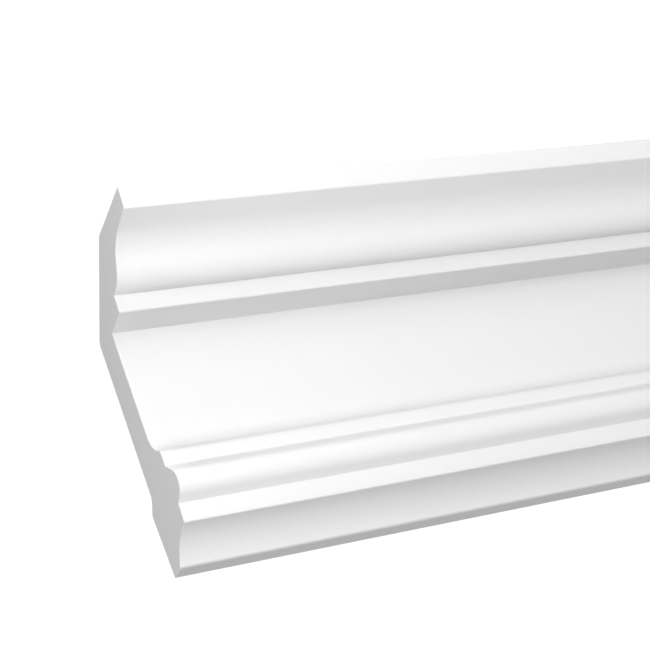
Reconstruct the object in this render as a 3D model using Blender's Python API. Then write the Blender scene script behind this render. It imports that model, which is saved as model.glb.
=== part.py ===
"""A straight length of crown moulding, as it is fixed: X along it, +Y toward the wall, +Z toward the ceiling.

The origin is the centre of the face that lies on the wall, at mid-length. All lengths are in metres.
The section is a ring of straight runs whose corners are rounded, and the solid is that section extruded.
"""

import math
from typing import NamedTuple

import bmesh
import bpy
from mathutils import Matrix, Vector

# Overall sizes
LENGTH = 1.0
DROP = 0.150
PROJECTION = 0.0876

# Back of the board
WALL_FACE_HEIGHT = 0.0313
RELIEF_DEPTH = 0.0059
RELIEF_SLOPE = math.radians(45)
BOARD_RAKE = math.radians(3.8)
BOARD_THICKNESS = 0.0171
SPRING_SLOPE = math.radians(38)
THROAT_THICKNESS = 0.0149
KNEE_RADIUS = 0.005
RELIEF_RADIUS = 0.0045
WALL_FACE_TOP_RADIUS = 0.0015

# Crown fillet and ogee
CROWN_FILLET_HEIGHT = 0.0108
CROWN_FILLET_RAKE = math.radians(9.5)
OGEE_HEIGHT = 0.0175
OGEE_SHELF = 0.0213
OGEE_SHELF_SLOPE = math.radians(6)
OGEE_HOLLOW_RADIUS = 0.0205
OGEE_ROUND_RADIUS = 0.015
OGEE_FOOT = 0.0078
OGEE_FOOT_LIFT = math.radians(2)

# Step fillet and soffit
STEP_FILLET_HEIGHT = 0.0086
SMALL_FILLET_RAKE = math.radians(8.2)
SOFFIT_DEPTH = 0.0153
SOFFIT_FALL = math.radians(3)

# Cove and band below the frieze
COVE_RADIUS = 0.0115
COVE_LEDGE_SLOPE = math.radians(34)
BAND_HEIGHT = 0.0075
BAND_PROJECTION = 0.0081
BAND_TOP_RADIUS = 0.0028
BAND_FOOT_RADIUS = 0.002

# Bead
BEAD_HEIGHT = 0.0185
BEAD_RADIUS = 0.0073
BEAD_TOP_SLOPE = math.radians(44)
BEAD_UNDER_SLOPE = math.radians(21.5)
BEAD_SETBACK = 0.0008

# Foot fillet, foot cove and lower edge
FOOT_FILLET_HEIGHT = 0.0087
FOOT_HEIGHT = 0.0116
FOOT_RUN = 0.0124
FOOT_SLOPE = math.radians(10.5)
FOOT_COVE_RADIUS = 0.030
LIP_DEPTH = 0.0088
LIP_RADIUS = 0.0012

# Convex edges of the face
ARRIS_RADIUS = 0.001

# Largest turn of one facet of a rounded corner
FACET_TURN = math.radians(5)

# Folds sharper than this are shaded as edges
SHARP_ANGLE = math.radians(20)

# Points of neighbouring roundings that meet are merged
MERGE_DISTANCE = 0.00001

# White primer
PRIMER_COLOUR = (0.87, 0.87, 0.86, 1.0)
PRIMER_ROUGHNESS = 0.6


class Corner(NamedTuple):
    """A corner of the section: its place before rounding, with y toward the wall and z up, and its radius."""

    place: Vector
    radius: float = 0.0


def clear_scene():
    """Removes every object of the open scene."""
    for old in list(bpy.data.objects):
        bpy.data.objects.remove(old)


def back_y(z):
    """The relieved back of the board at height z above the lower edge."""
    relief_top = WALL_FACE_HEIGHT + RELIEF_DEPTH * math.tan(RELIEF_SLOPE)
    return -RELIEF_DEPTH - (z - relief_top) * math.tan(BOARD_RAKE)


def frieze_y(z):
    """The flat front of the board, parallel to its back, at height z above the lower edge."""
    return back_y(z) - BOARD_THICKNESS / math.cos(BOARD_RAKE)


def lower_corners():
    """The corners from the foot of the frieze down to the lower edge of the wall face."""
    foot_low_z = FOOT_HEIGHT
    foot_top_z = foot_low_z + FOOT_FILLET_HEIGHT
    band_low_z = foot_top_z + BEAD_HEIGHT
    band_top_z = band_low_z + BAND_HEIGHT
    band_top = Vector((frieze_y(band_top_z) - BAND_PROJECTION, band_top_z))
    band_low = Vector((band_top.x + BAND_HEIGHT * math.tan(BOARD_RAKE), band_low_z))
    foot_top = Vector((band_low.x + BEAD_SETBACK, foot_top_z))
    foot_low = Vector((foot_top.x + FOOT_FILLET_HEIGHT * math.tan(SMALL_FILLET_RAKE), foot_low_z))

    # The ledge climbs from the band to the frieze, which leans out as it rises
    ledge_climb = math.tan(COVE_LEDGE_SLOPE)
    ledge_run = BAND_PROJECTION / (1 + math.tan(BOARD_RAKE) * ledge_climb)
    cove = band_top + ledge_run * Vector((1, ledge_climb))

    # The two slopes that the bead touches meet in front of it
    slopes = math.tan(BEAD_TOP_SLOPE) + math.tan(BEAD_UNDER_SLOPE)
    bead_reach = (BEAD_HEIGHT + BEAD_SETBACK * math.tan(BEAD_TOP_SLOPE)) / slopes
    bead = foot_top + bead_reach * Vector((-1, math.tan(BEAD_UNDER_SLOPE)))

    foot_turn = foot_low + FOOT_RUN * Vector((1, -math.tan(FOOT_SLOPE)))
    return [
        Corner(cove, COVE_RADIUS),
        Corner(band_top, BAND_TOP_RADIUS),
        Corner(band_low, BAND_FOOT_RADIUS),
        Corner(bead, BEAD_RADIUS),
        Corner(foot_top),
        Corner(foot_low, ARRIS_RADIUS),
        Corner(foot_turn, FOOT_COVE_RADIUS),
        Corner(Vector((-LIP_DEPTH, 0)), LIP_RADIUS),
        Corner(Vector((0, 0))),
    ]


def upper_corners():
    """The corners from the ceiling down to the head of the frieze."""
    crown = Vector((-PROJECTION, DROP))
    nose = crown + CROWN_FILLET_HEIGHT * Vector((math.tan(CROWN_FILLET_RAKE), -1))
    step_top_z = nose.y - OGEE_HEIGHT
    step_low_z = step_top_z - STEP_FILLET_HEIGHT
    frieze_top_z = step_low_z - SOFFIT_DEPTH * math.tan(SOFFIT_FALL)
    frieze_top = Vector((frieze_y(frieze_top_z), frieze_top_z))
    step_low = Vector((frieze_top.x - SOFFIT_DEPTH, step_low_z))
    step_top = step_low + STEP_FILLET_HEIGHT * Vector((-math.tan(SMALL_FILLET_RAKE), 1))
    hollow = nose + OGEE_SHELF * Vector((1, -math.tan(OGEE_SHELF_SLOPE)))
    belly = step_top - OGEE_FOOT * Vector((1, math.tan(OGEE_FOOT_LIFT)))
    return [
        Corner(crown),
        Corner(nose, ARRIS_RADIUS),
        Corner(hollow, OGEE_HOLLOW_RADIUS),
        Corner(belly, OGEE_ROUND_RADIUS),
        Corner(step_top),
        Corner(step_low, ARRIS_RADIUS),
        Corner(frieze_top),
    ]


def back_corners(frieze_top):
    """The corners from the top of the wall face up to the ceiling face."""
    relief = Vector((-RELIEF_DEPTH, WALL_FACE_HEIGHT + RELIEF_DEPTH * math.tan(RELIEF_SLOPE)))

    # The chamfer lies one throat thickness behind the head of the frieze
    fall = math.tan(SPRING_SLOPE)
    throat_z = frieze_top.y + THROAT_THICKNESS / math.cos(SPRING_SLOPE)
    ceiling_back = Vector((frieze_top.x - (DROP - throat_z) / fall, DROP))
    knee_z = (throat_z + (frieze_top.x - back_y(0)) * fall) / (1 - fall * math.tan(BOARD_RAKE))
    return [
        Corner(Vector((0, WALL_FACE_HEIGHT)), WALL_FACE_TOP_RADIUS),
        Corner(relief, RELIEF_RADIUS),
        Corner(Vector((back_y(knee_z), knee_z)), KNEE_RADIUS),
        Corner(ceiling_back),
    ]


def section_corners():
    """Every corner of the section in turn: down the face, then up the back."""
    upper = upper_corners()
    return upper + lower_corners() + back_corners(upper[-1].place)


def setback_lengths(corners):
    """How far each rounding starts from its corner, kept within the straight runs beside it."""
    wanted = []
    runs = []
    for before, corner, after in zip(corners[-1:] + corners[:-1], corners, corners[1:] + corners[:1]):
        turn = (corner.place - before.place).angle(after.place - corner.place)
        wanted.append(corner.radius * math.tan(turn / 2))
        runs.append((after.place - corner.place).length)
    kept = []
    for i, setback in enumerate(wanted):
        room = [1.0]
        for run, neighbour in ((runs[i - 1], wanted[i - 1]), (runs[i], wanted[(i + 1) % len(wanted)])):
            if setback + neighbour > 0:
                room.append(run / (setback + neighbour))
        kept.append(setback * min(room))
    return kept


def rounding_points(before, corner, after, setback):
    """The points of the arc that takes the place of a corner, or the corner itself where it is sharp."""
    if setback == 0:
        return [corner]
    to_before = (before - corner).normalized()
    to_after = (after - corner).normalized()
    half_angle = to_before.angle(to_after) / 2
    centre = corner + (to_before + to_after).normalized() * setback / math.cos(half_angle)
    spoke = corner + to_before * setback - centre
    turn = spoke.angle_signed(corner + to_after * setback - centre)
    facets = max(1, math.ceil(abs(turn) / FACET_TURN))
    return [centre + Matrix.Rotation(-turn * i / facets, 2) @ spoke for i in range(facets + 1)]


def section_points():
    """The rounded section as one ring of points."""
    corners = section_corners()
    setbacks = setback_lengths(corners)
    points = []
    for i, corner in enumerate(corners):
        before = corners[i - 1].place
        after = corners[(i + 1) % len(corners)].place
        points += rounding_points(before, corner.place, after, setbacks[i])
    return points


def primer_material():
    """Matt white primer."""
    material = bpy.data.materials.new("white_primer")
    material.use_nodes = True
    shader = material.node_tree.nodes["Principled BSDF"]
    shader.inputs["Base Color"].default_value = PRIMER_COLOUR
    shader.inputs["Roughness"].default_value = PRIMER_ROUGHNESS
    shader.inputs["Metallic"].default_value = 0.0
    return material


def build_moulding():
    """The whole length: the section drawn at one end and extruded to the other."""
    bm = bmesh.new()
    ring = [
        bm.verts.new((-LENGTH / 2, point.x, point.y - WALL_FACE_HEIGHT / 2)) for point in section_points()
    ]
    section = bm.faces.new(ring)
    bmesh.ops.remove_doubles(bm, verts=ring, dist=MERGE_DISTANCE)
    extruded = bmesh.ops.extrude_face_region(bm, geom=[section])
    far_end = [item for item in extruded["geom"] if isinstance(item, bmesh.types.BMVert)]
    bmesh.ops.translate(bm, verts=far_end, vec=(LENGTH, 0, 0))
    bmesh.ops.recalc_face_normals(bm, faces=bm.faces)
    mesh = bpy.data.meshes.new("crown_moulding")
    bm.to_mesh(mesh)
    bm.free()
    mesh.shade_smooth()
    mesh.set_sharp_from_angle(angle=SHARP_ANGLE)
    mesh.materials.append(primer_material())
    moulding = bpy.data.objects.new("crown_moulding", mesh)
    bpy.context.scene.collection.objects.link(moulding)
    return moulding


clear_scene()
build_moulding()
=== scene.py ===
"""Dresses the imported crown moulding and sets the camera, floor and light of the photograph.

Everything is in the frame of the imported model: metres, X along the length, +Y toward the wall and +Z toward
the ceiling, with the origin at the centre of the face that lies on the wall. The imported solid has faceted
roundings. One finer piece takes its place: the same section drawn with true arcs and a softer lip, with its
sawn ends eased and a finish of its own on the face, the back and the ends.
"""

import logging
import math
from dataclasses import dataclass, field
from enum import IntEnum
from typing import Any

import bmesh
import bpy
from mathutils import Matrix, Vector


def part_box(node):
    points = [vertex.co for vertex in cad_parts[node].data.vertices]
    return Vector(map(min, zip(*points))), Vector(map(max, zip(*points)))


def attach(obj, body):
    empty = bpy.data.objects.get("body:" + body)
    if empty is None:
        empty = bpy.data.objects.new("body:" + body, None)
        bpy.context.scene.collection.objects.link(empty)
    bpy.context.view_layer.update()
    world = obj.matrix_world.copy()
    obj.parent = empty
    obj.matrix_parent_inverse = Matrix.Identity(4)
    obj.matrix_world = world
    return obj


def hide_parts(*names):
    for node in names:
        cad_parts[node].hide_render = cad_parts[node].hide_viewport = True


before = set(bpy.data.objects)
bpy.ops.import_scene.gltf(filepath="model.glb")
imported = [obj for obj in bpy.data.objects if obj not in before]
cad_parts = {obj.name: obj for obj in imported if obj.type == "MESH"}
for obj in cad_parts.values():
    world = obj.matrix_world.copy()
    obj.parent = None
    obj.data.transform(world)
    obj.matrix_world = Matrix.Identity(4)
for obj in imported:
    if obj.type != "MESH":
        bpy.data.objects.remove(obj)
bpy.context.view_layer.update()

NODE = "crown_moulding"
BODY = "root"
MM = 0.001
WHITE = (1.0, 1.0, 1.0, 1.0)

# The sRGB curve: a straight foot for the darkest values and a power above it
SRGB_FOOT = 0.04045
SRGB_FOOT_SLOPE = 12.92
SRGB_OFFSET = 0.055
SRGB_POWER = 2.4

# A wave texture of scale one repeats after this many metres
WAVE_REPEAT = math.pi / 10

# Sockets of a Mix node set to colours, where several share a name
MIX_FACTOR = 0
MIX_FROM = 6
MIX_TO = 7
MIX_RESULT = 2

# The fewest chords that an arc is drawn with
LEAST_CHORDS = 2

# Spots on the moulding that the studio lights are aimed at, in metres
LEFT_SHARE = (-0.35, -0.03, 0.06)
RIGHT_SHARE = (0.35, -0.03, 0.06)
MIDDLE = (0.0, -0.03, 0.06)

# Light bounces once between surfaces, because with more the inner corners are paler than the picture's
DIFFUSE_BOUNCES = 1

log = logging.getLogger("moulding")


def linear_colour(hex_colour: str) -> tuple[float, float, float, float]:
    """Turns an sRGB hex colour into the linear colour that a shader takes.

    Args:
        hex_colour: The colour as a hash and six hex digits.

    Returns:
        Linear red, green and blue, and an alpha of one.
    """
    channels = [int(hex_colour[i : i + 2], 16) / 255 for i in (1, 3, 5)]
    red, green, blue = (
        c / SRGB_FOOT_SLOPE if c <= SRGB_FOOT else ((c + SRGB_OFFSET) / (1 + SRGB_OFFSET)) ** SRGB_POWER
        for c in channels
    )
    return red, green, blue, 1.0


def add_node(
    tree: bpy.types.NodeTree, kind: str, inputs: dict[str | int, Any] | None = None, **settings: Any
) -> bpy.types.Node:
    """Adds a node to a tree with its settings and links.

    Args:
        tree: The node tree of a material or of the world.
        kind: The node's type name.
        inputs: For an input's name or number, the output that feeds it or the value that it holds.
        **settings: Properties of the node itself.

    Returns:
        The new node.
    """
    node = tree.nodes.new(kind)
    for name, value in settings.items():
        setattr(node, name, value)
    for name, value in (inputs or {}).items():
        if isinstance(value, bpy.types.NodeSocket):
            tree.links.new(value, node.inputs[name])
        else:
            node.inputs[name].default_value = value
    return node


class Surface(IntEnum):
    """The surfaces with a finish of their own, numbered as the piece's materials are."""

    FACE = 0
    BACK = 1
    END = 2


@dataclass(frozen=True)
class Finish:
    """A finish of the moulding, drawn in the piece's own coordinates."""

    name: str

    def material(self) -> bpy.types.Material:
        """Builds the finish.

        Returns:
            The material.
        """
        material = bpy.data.materials.new(self.name)
        material.use_nodes = True
        tree = material.node_tree
        tree.nodes.clear()
        place = add_node(tree, "ShaderNodeTexCoord").outputs["Object"]
        add_node(tree, "ShaderNodeOutputMaterial", {"Surface": self.shader(tree, place)})
        return material

    def shader(self, tree: bpy.types.NodeTree, place: bpy.types.NodeSocket) -> bpy.types.NodeSocket:
        """Adds the nodes of this finish to a material's tree and gives the finished surface's output."""
        raise NotImplementedError


@dataclass(frozen=True)
class SprayedPrimer(Finish):
    """Factory white primer, sprayed on moulded rigid polyurethane and dried matt.

    To the eye it is an even, bright, neutral white with next to no gloss. Close to, the spray has left a
    faint orange peel a few millimetres across and a finer tooth of dried droplets, and its coat is a little
    thinner in broad drifts.
    """

    name: str = "sprayed_white_primer"
    full_coat: str = "#ECECEC"
    thin_coat: str = "#E9E9E9"
    drift: float = 110 * MM
    peel: float = 3.4 * MM
    peel_height: float = 0.06 * MM
    tooth: float = 0.6 * MM
    tooth_height: float = 0.012 * MM
    detail: float = 2.0
    smooth_roughness: float = 0.52
    dry_roughness: float = 0.64
    ior: float = 1.47

    def shader(self, tree: bpy.types.NodeTree, place: bpy.types.NodeSocket) -> bpy.types.NodeSocket:
        """Adds the nodes of the primer.

        Args:
            tree: The material's node tree.
            place: The point's coordinates on the piece, in metres.

        Returns:
            The finished surface's output.
        """
        drift, peel, tooth = (
            add_node(
                tree, "ShaderNodeTexNoise", {"Vector": place, "Scale": 1 / size, "Detail": self.detail}
            ).outputs[0]
            for size in (self.drift, self.peel, self.tooth)
        )
        coat = add_node(
            tree,
            "ShaderNodeMix",
            {
                MIX_FACTOR: drift,
                MIX_FROM: linear_colour(self.thin_coat),
                MIX_TO: linear_colour(self.full_coat),
            },
            data_type="RGBA",
        )
        dryness = add_node(
            tree,
            "ShaderNodeMapRange",
            {"Value": drift, "To Min": self.smooth_roughness, "To Max": self.dry_roughness},
        )
        peeled = add_node(tree, "ShaderNodeBump", {"Height": peel, "Distance": self.peel_height})
        toothed = add_node(
            tree,
            "ShaderNodeBump",
            {"Height": tooth, "Distance": self.tooth_height, "Normal": peeled.outputs[0]},
        )
        return add_node(
            tree,
            "ShaderNodeBsdfPrincipled",
            {
                "Base Color": coat.outputs[MIX_RESULT],
                "Roughness": dryness.outputs[0],
                "IOR": self.ior,
                "Normal": toothed.outputs[0],
            },
        ).outputs[0]


@dataclass(frozen=True)
class MouldedBack(Finish):
    """The skin of the back as it left the mould, under a thin mist of the same primer.

    To the eye it is the face's white a shade greyer and drier, with the shallow flow marks that rigid foam
    leaves against the mould's lid.
    """

    name: str = "misted_foam_back"
    misted: str = "#E7E7E6"
    bare: str = "#DEDDDA"
    flow: float = 14 * MM
    flow_stretch: float = 5.0
    flow_swirl: float = 0.6
    flow_height: float = 0.25 * MM
    grit: float = 0.9 * MM
    grit_height: float = 0.04 * MM
    roughness: float = 0.72
    ior: float = 1.47

    def shader(self, tree: bpy.types.NodeTree, place: bpy.types.NodeSocket) -> bpy.types.NodeSocket:
        """Adds the nodes of the back.

        Args:
            tree: The material's node tree.
            place: The point's coordinates on the piece, in metres.

        Returns:
            The finished surface's output.
        """
        along = add_node(tree, "ShaderNodeMapping", {"Vector": place, "Scale": (1 / self.flow_stretch, 1, 1)})
        flow = add_node(
            tree,
            "ShaderNodeTexNoise",
            {"Vector": along.outputs[0], "Scale": 1 / self.flow, "Distortion": self.flow_swirl},
        )
        grit = add_node(tree, "ShaderNodeTexNoise", {"Vector": place, "Scale": 1 / self.grit})
        coat = add_node(
            tree,
            "ShaderNodeMix",
            {
                MIX_FACTOR: flow.outputs[0],
                MIX_FROM: linear_colour(self.bare),
                MIX_TO: linear_colour(self.misted),
            },
            data_type="RGBA",
        )
        flowed = add_node(tree, "ShaderNodeBump", {"Height": flow.outputs[0], "Distance": self.flow_height})
        gritty = add_node(
            tree,
            "ShaderNodeBump",
            {"Height": grit.outputs[0], "Distance": self.grit_height, "Normal": flowed.outputs[0]},
        )
        return add_node(
            tree,
            "ShaderNodeBsdfPrincipled",
            {
                "Base Color": coat.outputs[MIX_RESULT],
                "Roughness": self.roughness,
                "IOR": self.ior,
                "Normal": gritty.outputs[0],
            },
        ).outputs[0]


@dataclass(frozen=True)
class SawnFoam(Finish):
    """Fine closed-cell rigid polyurethane, cut with a fine-toothed saw and left bare.

    To the eye it is an even, dead matt white. Close to, it is a tight grain of cut cells crossed by faint saw
    marks, inside a smoother rim where the foam set dense against the mould. The cells are about 0.2 mm in
    the real foam and are drawn twice as coarse, so that they show. The floor of each cell is painted a shade
    darker than its walls: painted shade in the cell hollows.
    """

    name: str = "sawn_rigid_foam"
    rim: str = "#ECECEC"
    wall: str = "#EAEAEA"
    # Colour of the cell floors, a shade darker than the walls: painted shade in the hollows of the cut cells
    shaded_cell_floor: str = "#E4E4E3"
    cell: float = 0.45 * MM
    cell_height: float = 0.03 * MM
    saw_pitch: float = 1.6 * MM
    saw_height: float = 0.02 * MM
    saw_lean: float = math.radians(24)
    saw_waver: float = 1.5
    saw_detail: float = 2.0
    saw_detail_scale: float = 0.4
    roughness: float = 0.85
    ior: float = 1.47
    skin_layer: str = "skin"

    def shader(self, tree: bpy.types.NodeTree, place: bpy.types.NodeSocket) -> bpy.types.NodeSocket:
        """Adds the nodes of the sawn end.

        Args:
            tree: The material's node tree.
            place: The point's coordinates on the piece, in metres.

        Returns:
            The finished surface's output.
        """
        skin = add_node(tree, "ShaderNodeAttribute", attribute_name=self.skin_layer).outputs["Fac"]
        cut = add_node(tree, "ShaderNodeTexVoronoi", {"Vector": place, "Scale": 1 / self.cell})
        cells = cut.outputs["Distance"]
        inside = add_node(tree, "ShaderNodeMath", {0: 1.0, 1: skin}, operation="SUBTRACT")
        open_cells = add_node(
            tree, "ShaderNodeMath", {0: cells, 1: inside.outputs[0]}, operation="MULTIPLY"
        ).outputs[0]
        # Darker toward each cell's centre, where its pit is deepest: painted shade in the cell hollows
        cell_shaded_core = add_node(
            tree,
            "ShaderNodeMix",
            {
                MIX_FACTOR: cells,
                MIX_FROM: linear_colour(self.shaded_cell_floor),
                MIX_TO: linear_colour(self.wall),
            },
            data_type="RGBA",
        )
        colour = add_node(
            tree,
            "ShaderNodeMix",
            {MIX_FACTOR: skin, MIX_FROM: cell_shaded_core.outputs[MIX_RESULT], MIX_TO: linear_colour(self.rim)},
            data_type="RGBA",
        )
        leaning = add_node(tree, "ShaderNodeMapping", {"Vector": place, "Rotation": (self.saw_lean, 0, 0)})
        marks = add_node(
            tree,
            "ShaderNodeTexWave",
            {
                "Vector": leaning.outputs[0],
                "Scale": WAVE_REPEAT / self.saw_pitch,
                "Distortion": self.saw_waver,
                "Detail": self.saw_detail,
                "Detail Scale": self.saw_detail_scale,
            },
            bands_direction="Z",
        )
        sawn = add_node(tree, "ShaderNodeBump", {"Height": marks.outputs["Fac"], "Distance": self.saw_height})
        celled = add_node(
            tree,
            "ShaderNodeBump",
            {"Height": open_cells, "Distance": self.cell_height, "Normal": sawn.outputs[0]},
        )
        return add_node(
            tree,
            "ShaderNodeBsdfPrincipled",
            {
                "Base Color": colour.outputs[MIX_RESULT],
                "Roughness": self.roughness,
                "IOR": self.ior,
                "Normal": celled.outputs[0],
            },
        ).outputs[0]


@dataclass(frozen=True)
class Corner:
    """A corner of the section before it is rounded.

    Its place has x toward the wall and y up from the lower edge, and a radius of zero leaves it sharp.
    """

    place: Vector
    radius: float = 0.0


@dataclass(frozen=True)
class Board:
    """The board that carries the members: its raked front, and its back, relieved above the wall face."""

    wall_face_height: float = 31.3 * MM
    wall_face_top_radius: float = 1.5 * MM
    relief_depth: float = 5.9 * MM
    relief_slope: float = math.radians(45)
    relief_radius: float = 4.5 * MM
    rake: float = math.radians(3.8)
    thickness: float = 17.1 * MM
    spring_slope: float = math.radians(38)
    throat_thickness: float = 14.9 * MM
    knee_radius: float = 5.0 * MM

    def relief_top(self) -> float:
        """Height above the lower edge at which the relief reaches its full depth."""
        return self.wall_face_height + self.relief_depth * math.tan(self.relief_slope)

    def back_at(self, height: float) -> float:
        """The relieved back's place along y, negative before the wall, this high above the lower edge."""
        return -self.relief_depth - (height - self.relief_top()) * math.tan(self.rake)

    def front_at(self, height: float) -> float:
        """The frieze's place along y, negative before the wall, this high above the lower edge."""
        return self.back_at(height) - self.thickness / math.cos(self.rake)

    def corners(self, frieze_head: Vector, drop: float) -> list[Corner]:
        """The corners of the back, from the top of the wall face to the ceiling.

        Args:
            frieze_head: The corner between frieze and soffit, which the chamfer lies behind.
            drop: Height of the whole section.

        Returns:
            The corners in turn.
        """
        fall = math.tan(self.spring_slope)
        throat = frieze_head.y + self.throat_thickness / math.cos(self.spring_slope)
        knee = (throat + (frieze_head.x - self.back_at(0)) * fall) / (1 - fall * math.tan(self.rake))
        return [
            Corner(Vector((0, self.wall_face_height)), self.wall_face_top_radius),
            Corner(Vector((-self.relief_depth, self.relief_top())), self.relief_radius),
            Corner(Vector((self.back_at(knee), knee)), self.knee_radius),
            Corner(Vector((frieze_head.x - (drop - throat) / fall, drop))),
        ]


@dataclass(frozen=True)
class CrownAndOgee:
    """The crown fillet at the ceiling, and the ogee under it: hollow above and round below."""

    fillet_height: float = 10.8 * MM
    fillet_rake: float = math.radians(9.5)
    nose_radius: float = 1.0 * MM
    ogee_height: float = 17.5 * MM
    shelf: float = 21.3 * MM
    shelf_slope: float = math.radians(6)
    hollow_radius: float = 20.5 * MM
    round_radius: float = 15.0 * MM
    foot: float = 7.8 * MM
    foot_lift: float = math.radians(2)

    def foot_height(self, drop: float) -> float:
        """Height of the ogee's foot above the lower edge, for a section of this drop."""
        return drop - self.fillet_height - self.ogee_height

    def corners(self, top: Vector, step_top: Vector) -> list[Corner]:
        """The corners from the ceiling to the foot of the ogee.

        Args:
            top: The front corner at the ceiling.
            step_top: The top of the step fillet, where the ogee ends.

        Returns:
            The corners in turn.
        """
        nose = top + self.fillet_height * Vector((math.tan(self.fillet_rake), -1))
        return [
            Corner(top),
            Corner(nose, self.nose_radius),
            Corner(nose + self.shelf * Vector((1, -math.tan(self.shelf_slope))), self.hollow_radius),
            Corner(step_top - self.foot * Vector((1, math.tan(self.foot_lift))), self.round_radius),
        ]


@dataclass(frozen=True)
class StepAndSoffit:
    """The small fillet under the ogee and the soffit that runs back from it to the frieze."""

    fillet_height: float = 8.6 * MM
    fillet_rake: float = math.radians(8.2)
    arris_radius: float = 1.0 * MM
    soffit_depth: float = 15.3 * MM
    soffit_fall: float = math.radians(3)

    def corners(self, board: Board, top: float) -> list[Corner]:
        """The corners from the top of the step fillet to the head of the frieze.

        Args:
            board: The board whose front is the frieze.
            top: Height of the fillet's top above the lower edge.

        Returns:
            The corners in turn.
        """
        low = top - self.fillet_height
        head_height = low - self.soffit_depth * math.tan(self.soffit_fall)
        head = Vector((board.front_at(head_height), head_height))
        step_low = Vector((head.x - self.soffit_depth, low))
        step_top = step_low + self.fillet_height * Vector((-math.tan(self.fillet_rake), 1))
        return [Corner(step_top), Corner(step_low, self.arris_radius), Corner(head)]


@dataclass(frozen=True)
class CoveAndBand:
    """The cove at the foot of the frieze and the narrow soft-edged band that it runs out to."""

    cove_radius: float = 11.5 * MM
    ledge_slope: float = math.radians(34)
    height: float = 7.5 * MM
    projection: float = 8.1 * MM
    top_radius: float = 2.8 * MM
    foot_radius: float = 2.0 * MM

    def corners(self, board: Board, foot: float) -> list[Corner]:
        """The corners from the foot of the frieze to the foot of the band.

        Args:
            board: The board whose front is the frieze.
            foot: Height of the band's foot above the lower edge.

        Returns:
            The corners in turn.
        """
        top = foot + self.height
        band_top = Vector((board.front_at(top) - self.projection, top))
        climb = math.tan(self.ledge_slope)
        ledge = self.projection / (1 + math.tan(board.rake) * climb)
        band_low = Vector((band_top.x + self.height * math.tan(board.rake), foot))
        return [
            Corner(band_top + ledge * Vector((1, climb)), self.cove_radius),
            Corner(band_top, self.top_radius),
            Corner(band_low, self.foot_radius),
        ]


@dataclass(frozen=True)
class Bead:
    """The round bead that leans out under the band."""

    height: float = 18.5 * MM
    radius: float = 7.3 * MM
    top_slope: float = math.radians(44)
    under_slope: float = math.radians(21.5)
    setback: float = 0.8 * MM

    def corners(self, band_low: Vector) -> list[Corner]:
        """The corner of the bead and the corner that it ends in.

        Args:
            band_low: The foot of the band, where the bead starts.

        Returns:
            The corners in turn.
        """
        end = Vector((band_low.x + self.setback, band_low.y - self.height))
        slopes = math.tan(self.top_slope) + math.tan(self.under_slope)
        reach = (self.height + self.setback * math.tan(self.top_slope)) / slopes
        return [Corner(end + reach * Vector((-1, math.tan(self.under_slope))), self.radius), Corner(end)]


@dataclass(frozen=True)
class Foot:
    """The foot fillet, the shallow cove under it and the lower edge on the wall.

    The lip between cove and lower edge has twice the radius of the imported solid's, which takes up to
    0.12 mm more off it.
    """

    height: float = 11.6 * MM
    fillet_height: float = 8.7 * MM
    fillet_rake: float = math.radians(8.2)
    arris_radius: float = 1.0 * MM
    run: float = 12.4 * MM
    slope: float = math.radians(10.5)
    cove_radius: float = 30.0 * MM
    lip_depth: float = 8.8 * MM
    lip_radius: float = 2.4 * MM

    def corners(self, fillet_top: Vector) -> list[Corner]:
        """The corners from the foot of the foot fillet to the wall.

        Args:
            fillet_top: The top of the foot fillet, where the bead ends.

        Returns:
            The corners in turn.
        """
        fillet_low = Vector((fillet_top.x + self.fillet_height * math.tan(self.fillet_rake), self.height))
        return [
            Corner(fillet_low, self.arris_radius),
            Corner(fillet_low + self.run * Vector((1, -math.tan(self.slope))), self.cove_radius),
            Corner(Vector((-self.lip_depth, 0)), self.lip_radius),
            Corner(Vector((0, 0))),
        ]


@dataclass(frozen=True)
class Section:
    """The moulding's whole section, made of its members."""

    drop: float
    projection: float
    board: Board = Board()
    crown: CrownAndOgee = CrownAndOgee()
    step: StepAndSoffit = StepAndSoffit()
    band: CoveAndBand = CoveAndBand()
    bead: Bead = Bead()
    foot: Foot = Foot()

    def corners(self) -> list[Corner]:
        """Gathers the corners of all the members.

        Returns:
            Every corner of the section in turn: down the face, then up the back.
        """
        step = self.step.corners(self.board, self.crown.foot_height(self.drop))
        crown = self.crown.corners(Vector((-self.projection, self.drop)), step[0].place)
        band_foot = self.foot.height + self.foot.fillet_height + self.bead.height
        band = self.band.corners(self.board, band_foot)
        bead = self.bead.corners(band[-1].place)
        foot = self.foot.corners(bead[-1].place)
        return crown + step + band + bead + foot + self.board.corners(step[-1].place, self.drop)


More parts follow.
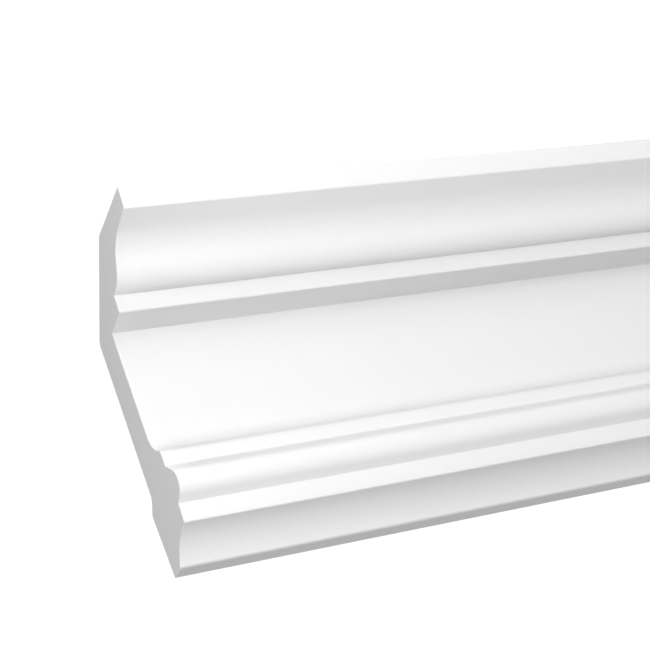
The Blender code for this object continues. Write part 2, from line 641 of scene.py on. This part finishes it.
class OutlinePen:
    """Draws an outline in a bmesh, at one station of the length, by straight runs and arcs."""

    def __init__(self, mesh: bmesh.types.BMesh, station: float, lift: float, tolerance: float) -> None:
        """Takes up the pen.

        Args:
            mesh: The bmesh to draw in, empty as yet.
            station: The place along X that the outline lies at.
            lift: What is added to every height, to bring the lower edge to its place.
            tolerance: How far an arc's chords may stray from the true arc.
        """
        self.mesh = mesh
        self.station = station
        self.lift = lift
        self.tolerance = tolerance
        self.tip: bmesh.types.BMVert | None = None

    def point(self, place: Vector) -> Vector:
        """The point of the piece that a place on the section stands for."""
        return Vector((self.station, place.x, place.y + self.lift))

    def run_to(self, place: Vector) -> None:
        """Draws a straight run from where the pen is, or starts the outline.

        Args:
            place: The place on the section that the run ends at, or that the outline starts at.
        """
        if self.tip is None:
            self.tip = self.mesh.verts.new(self.point(place))
            return
        self.tip = bmesh.ops.extrude_vert_indiv(self.mesh, verts=[self.tip])["verts"][0]
        self.tip.co = self.point(place)

    def swing(self, centre: Vector, radius: float, turn: float) -> None:
        """Draws an arc from where the pen is.

        Args:
            centre: The arc's centre on the section.
            radius: Its radius, from which the number of chords follows.
            turn: How far it turns, in radians, from +Y toward +Z where it is positive.
        """
        chord_turn = 2 * math.acos(1 - self.tolerance / radius)
        swung = bmesh.ops.spin(
            self.mesh,
            geom=[self.tip],
            cent=self.point(centre),
            axis=(1, 0, 0),
            angle=turn,
            steps=max(LEAST_CHORDS, math.ceil(abs(turn) / chord_turn)),
            use_duplicate=False,
        )
        self.tip = next(item for item in swung["geom_last"] if isinstance(item, bmesh.types.BMVert))

    def round_corner(self, before: Vector, corner: Corner, after: Vector) -> None:
        """Runs to a corner and goes round it with its radius, or through it where it is sharp.

        Args:
            before: The place of the corner before it.
            corner: The corner.
            after: The place of the corner after it.
        """
        if corner.radius == 0:
            self.run_to(corner.place)
            return
        back = (before - corner.place).normalized()
        onward = (after - corner.place).normalized()
        turn = (-back).angle_signed(onward)
        setback = corner.radius * math.tan(abs(turn) / 2)
        centre = corner.place + (back + onward).normalized() * corner.radius / math.cos(turn / 2)
        self.run_to(corner.place + back * setback)
        self.swing(centre, corner.radius, -turn)

    def close(self) -> bmesh.types.BMFace:
        """Joins the outline's end to its start and fills it.

        Returns:
            The filled outline.
        """
        ends = [vert for vert in self.mesh.verts if len(vert.link_edges) == 1]
        bmesh.ops.contextual_create(self.mesh, geom=ends)
        return bmesh.ops.contextual_create(self.mesh, geom=self.mesh.edges[:])["faces"][0]


@dataclass
class MouldingLength:
    """A length of the moulding: its section carried along X, sawn square and eased at both ends.

    A face counts as an end, the back or the ceiling face where its unit normal's part along X, +Y or +Z
    is more than end_facing, back_facing or ceiling_facing.
    """

    low: Vector
    high: Vector
    arc_tolerance: float = 0.002 * MM
    ease: float = 0.1 * MM
    rim_width: float = 0.7 * MM
    bay: float = 50 * MM
    fold: float = math.radians(15)
    end_facing: float = 0.5
    back_facing: float = 0.02
    ceiling_facing: float = 0.99
    finishes: dict[Surface, Finish] = field(
        default_factory=lambda: {
            Surface.FACE: SprayedPrimer(),
            Surface.BACK: MouldedBack(),
            Surface.END: SawnFoam(),
        }
    )

    def draw_section(self, mesh: bmesh.types.BMesh) -> bmesh.types.BMFace:
        """Draws the section at the left end, short of it by the easing.

        Args:
            mesh: The bmesh to draw in.

        Returns:
            The filled section.
        """
        section = Section(drop=self.high.z - self.low.z, projection=self.high.y - self.low.y)
        corners = section.corners()
        pen = OutlinePen(mesh, self.low.x + self.ease, self.low.z, self.arc_tolerance)
        for before, corner, after in zip(corners[-1:] + corners[:-1], corners, corners[1:] + corners[:1]):
            pen.round_corner(before.place, corner, after.place)
        return pen.close()

    def carry_along(self, mesh: bmesh.types.BMesh, section: bmesh.types.BMFace) -> None:
        """Extrudes the section to the right end and divides the length into bays.

        Args:
            mesh: The bmesh that holds the section.
            section: The filled section.
        """
        run = self.high.x - self.low.x - 2 * self.ease
        extruded = bmesh.ops.extrude_face_region(mesh, geom=[section])["geom"]
        far = [item for item in extruded if isinstance(item, bmesh.types.BMVert)]
        bmesh.ops.translate(mesh, verts=far, vec=(run, 0, 0))
        bmesh.ops.recalc_face_normals(mesh, faces=mesh.faces[:])

        # Edges of the section have no length along X, and the others have all of it
        lengthwise = [edge for edge in mesh.edges if abs(edge.verts[0].co.x - edge.verts[1].co.x) > run / 2]
        cuts = round(run / self.bay) - 1
        bmesh.ops.subdivide_edges(mesh, edges=lengthwise, cuts=cuts, use_grid_fill=True)

    def saw_ends(self, mesh: bmesh.types.BMesh) -> None:
        """Eases the arrises of both ends and marks the dense rim just inside them.

        Args:
            mesh: The bmesh of the closed length.
        """
        skin = mesh.verts.layers.float.new(SawnFoam.skin_layer)
        for end in [face for face in mesh.faces if abs(face.normal.x) > self.end_facing]:
            bmesh.ops.inset_region(
                mesh, faces=[end], thickness=self.ease, depth=self.ease, use_even_offset=True
            )
            for vert in end.verts:
                vert[skin] = 1.0
            rim = bmesh.ops.inset_region(mesh, faces=[end], thickness=self.rim_width, use_even_offset=True)
            log.info("end at x = %.4f m: rim of %d faces", end.verts[0].co.x, len(rim["faces"]))
            for vert in end.verts:
                vert[skin] = 0.0

    def surface_of(self, normal: Vector) -> Surface:
        """Finds which of the surfaces a face belongs to.

        Args:
            normal: The face's normal.

        Returns:
            The surface, which is the back's for the ceiling face too.
        """
        if abs(normal.x) > self.end_facing:
            return Surface.END
        if normal.y > self.back_facing or normal.z > self.ceiling_facing:
            return Surface.BACK
        return Surface.FACE

    def build(self) -> bpy.types.Object:
        """Builds the length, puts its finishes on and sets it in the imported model's place.

        Returns:
            The piece.
        """
        shape = bmesh.new()
        self.carry_along(shape, self.draw_section(shape))
        self.saw_ends(shape)
        for face in shape.faces:
            face.material_index = self.surface_of(face.normal)
        mesh = bpy.data.meshes.new("moulding_length")
        shape.to_mesh(mesh)
        shape.free()
        for surface in Surface:
            mesh.materials.append(self.finishes[surface].material())
        mesh.shade_smooth()
        mesh.set_sharp_from_angle(angle=self.fold)
        piece = bpy.data.objects.new("moulding_length", mesh)
        bpy.context.scene.collection.objects.link(piece)
        even = piece.modifiers.new("flats_stay_flat", "WEIGHTED_NORMAL")
        even.mode = "FACE_AREA"
        even.keep_sharp = True
        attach(piece, BODY)
        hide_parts(NODE)
        return piece


@dataclass(frozen=True)
class Softbox:
    """A square soft light, set off from the spot it is aimed at and kept out of the picture itself."""

    name: str
    aim: tuple[float, float, float]
    direction: tuple[float, float, float]
    distance: float
    size: float
    power: float

    def build(self) -> None:
        """Builds the light and turns it toward the spot that it is aimed at."""
        light = bpy.data.lights.new(self.name, "AREA")
        light.shape = "SQUARE"
        light.size = self.size
        light.energy = self.power
        lamp = bpy.data.objects.new(self.name, light)
        outward = Vector(self.direction).normalized()
        lamp.location = Vector(self.aim) + self.distance * outward
        lamp.rotation_euler = (-outward).to_track_quat("-Z", "Y").to_euler()
        lamp.visible_camera = False
        bpy.context.scene.collection.objects.link(lamp)


@dataclass(frozen=True)
class Studio:
    """The room of the picture: a pale floor far below the moulding, a white backdrop and soft light.

    The floor is pale by its own glow, so that the lights right above don't burn it out, and it is hidden
    from diffuse rays, which keeps that glow off the moulding's matt faces. Key, front and side lights come
    in pairs, one for each end. The others are aimed at the left part, which the picture shows, or at the
    middle.
    """

    floor_height: float = -2.3
    floor_width: float = 60.0
    floor_colour: str = "#9A9A98"
    floor_roughness: float = 0.6
    floor_glow_colour: str = "#ECECEA"
    floor_glow: float = 0.87
    backdrop: float = 1.1
    room_light: float = 0.04
    softboxes: tuple[Softbox, ...] = (
        Softbox("left_key", LEFT_SHARE, (-0.6, -0.8, -0.2), distance=0.65, size=0.3, power=2.5),
        Softbox("right_key", RIGHT_SHARE, (0.6, -0.8, -0.2), distance=0.65, size=0.3, power=2.5),
        Softbox("left_front", LEFT_SHARE, (0, -1, 0.1), distance=0.9, size=0.5, power=0.76),
        Softbox("right_front", RIGHT_SHARE, (0, -1, 0.1), distance=0.9, size=0.5, power=0.76),
        Softbox("high_front", MIDDLE, (0, -1, 0.5), distance=2.6, size=1.6, power=19.9),
        Softbox("low_right", LEFT_SHARE, (0.7, -1, -0.8), distance=2.6, size=1.0, power=10.6),
        Softbox("left_side", LEFT_SHARE, (-1, 0.15, 0), distance=2.0, size=0.6, power=10.5),
        Softbox("right_side", RIGHT_SHARE, (1, 0.15, 0), distance=2.0, size=0.6, power=8.0),
        Softbox("under_left", LEFT_SHARE, (-0.2, 0.1, -1), distance=1.9, size=0.2, power=4.8),
        Softbox("under_right", LEFT_SHARE, (0.1, 0.1, -1), distance=1.9, size=0.2, power=3.9),
        Softbox("overhead", LEFT_SHARE, (0, -0.3, 1), distance=1.6, size=0.6, power=25.4),
        Softbox("back_fill", MIDDLE, (0.3, 1, 0.1), distance=2.8, size=0.8, power=57),
    )

    def build_floor(self) -> None:
        """Builds the floor, which isn't part of the object."""
        shape = bmesh.new()
        bmesh.ops.create_grid(
            shape,
            x_segments=1,
            y_segments=1,
            size=self.floor_width / 2,
            matrix=Matrix.Translation((0, 0, self.floor_height)),
        )
        mesh = bpy.data.meshes.new("studio_floor")
        shape.to_mesh(mesh)
        shape.free()
        material = bpy.data.materials.new("pale_studio_floor")
        material.use_nodes = True
        shader = material.node_tree.nodes["Principled BSDF"]
        shader.inputs["Base Color"].default_value = linear_colour(self.floor_colour)
        shader.inputs["Roughness"].default_value = self.floor_roughness
        shader.inputs["Emission Color"].default_value = linear_colour(self.floor_glow_colour)
        shader.inputs["Emission Strength"].default_value = self.floor_glow
        mesh.materials.append(material)
        floor = bpy.data.objects.new("studio_floor", mesh)
        floor.visible_diffuse = False
        bpy.context.scene.collection.objects.link(floor)

    def build_backdrop(self) -> None:
        """Makes the world a white backdrop to the eye, and an even and weaker light on the object."""
        world = bpy.data.worlds.new("white_studio")
        world.use_nodes = True
        tree = world.node_tree
        tree.nodes.clear()
        seen = add_node(tree, "ShaderNodeLightPath").outputs["Is Camera Ray"]
        lit = add_node(tree, "ShaderNodeBackground", {"Color": WHITE, "Strength": self.room_light})
        white = add_node(tree, "ShaderNodeBackground", {"Color": WHITE, "Strength": self.backdrop})
        both = add_node(tree, "ShaderNodeMixShader", {0: seen, 1: lit.outputs[0], 2: white.outputs[0]})
        add_node(tree, "ShaderNodeOutputWorld", {"Surface": both.outputs[0]})
        bpy.context.scene.world = world

    def build(self) -> None:
        """Builds the floor, the backdrop and the lights."""
        self.build_floor()
        self.build_backdrop()
        for softbox in self.softboxes:
            softbox.build()
            log.info("light %s: %g W", softbox.name, softbox.power)


@dataclass(frozen=True)
class PhotoCamera:
    """The camera of the photograph: low, to the left of the sawn end, looking up along the face.

    Its lens and sensor are in millimetres, and everything else is in metres.
    """

    place: tuple[float, float, float] = (-0.80115, -0.67713, -0.31854)
    heading: float = math.radians(32.131)
    pitch: float = math.radians(27.811)
    roll: float = math.radians(-24.073)
    lens: float = 100.0
    sensor: float = 36.0
    near_limit: float = 0.01

    def build(self) -> bpy.types.Object:
        """Builds the camera and makes it the scene's.

        Returns:
            The camera's object.
        """
        data = bpy.data.cameras.new("photo_camera")
        data.lens = self.lens
        data.sensor_width = self.sensor
        data.clip_start = self.near_limit
        camera = bpy.data.objects.new("photo_camera", data)
        turned = (
            Matrix.Rotation(-self.heading, 4, "Z")
            @ Matrix.Rotation(math.pi / 2 + self.pitch, 4, "X")
            @ Matrix.Rotation(self.roll, 4, "Z")
        )
        camera.matrix_world = Matrix.Translation(self.place) @ turned
        bpy.context.scene.collection.objects.link(camera)
        bpy.context.scene.camera = camera
        return camera


def main() -> None:
    """Builds the picture: the camera, the moulding, the floor and the light."""
    logging.basicConfig(level=logging.INFO, format="%(name)s: %(message)s")
    bpy.context.scene.view_settings.view_transform = "Standard"
    bpy.context.scene.cycles.diffuse_bounces = DIFFUSE_BOUNCES
    camera = PhotoCamera().build()
    log.info("camera %s at %s", camera.name, tuple(round(c, 3) for c in camera.location))
    low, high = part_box(NODE)
    piece = MouldingLength(low, high).build()
    log.info("%s: %d faces, for the node %s", piece.name, len(piece.data.polygons), NODE)
    Studio().build()


if __name__ == "__main__":
    main()
